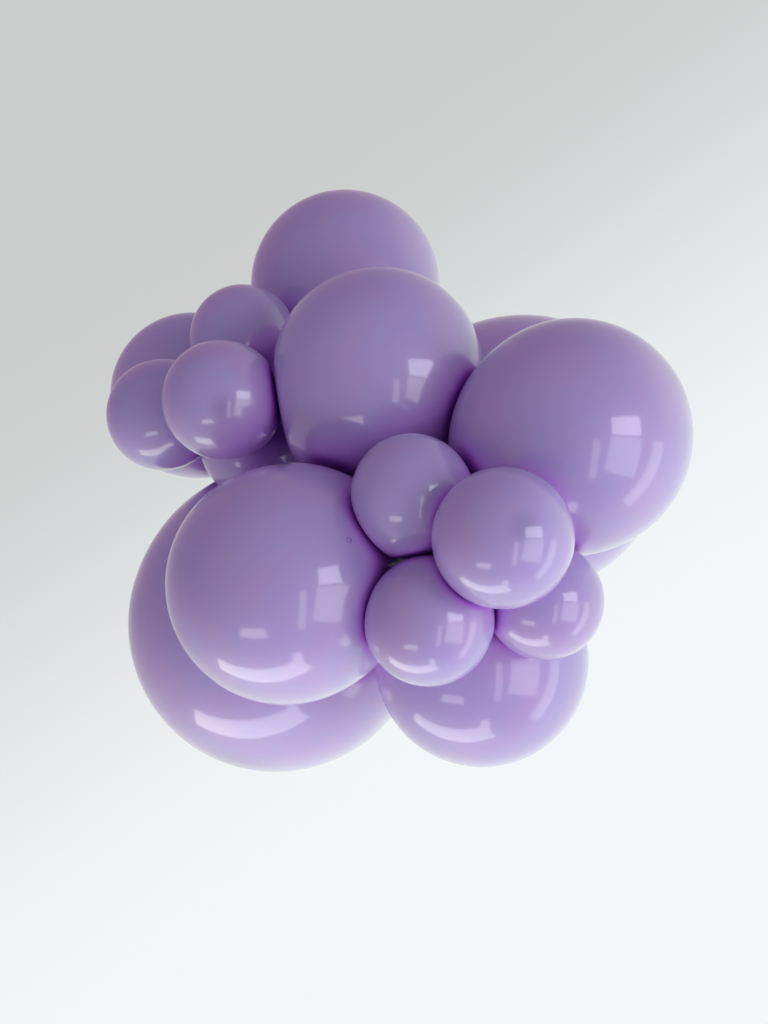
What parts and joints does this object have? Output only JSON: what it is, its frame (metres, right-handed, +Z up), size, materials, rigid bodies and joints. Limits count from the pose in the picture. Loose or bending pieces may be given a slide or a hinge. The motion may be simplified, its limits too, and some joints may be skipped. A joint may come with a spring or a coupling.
{
  "type": "balloon garland",
  "caption": "Compact wall garland of plain lilac latex balloons in large and small sizes, tied in clusters by their necks and pressed together.",
  "frame": {"origin": "middle of the flat spot where the largest balloon rests on the wall, on the wall's plane", "axes": "+Y into the wall, +X to the right for someone who faces the wall, +Z up along the wall"},
  "size_m": [0.5354, 0.5095, 0.5573],
  "materials": {
    "latex": "satin gloss, lilac"
  },
  "bodies": {
    "root": {"balloon_lower_left_rear": "latex", "balloon_right_rear": "latex", "balloon_top_rear": "latex", "balloon_left_rear": "latex", "balloon_upper_front": "latex", "balloon_right_front": "latex", "balloon_lower_left_front": "latex", "balloon_lower_right": "latex", "small_left_top": "latex", "small_left_outer": "latex", "small_left_front": "latex", "small_left_inner": "latex", "small_right_middle": "latex", "small_right_nearest": "latex", "small_right_low": "latex", "small_right_outer": "latex"}
  },
  "joints": []
}
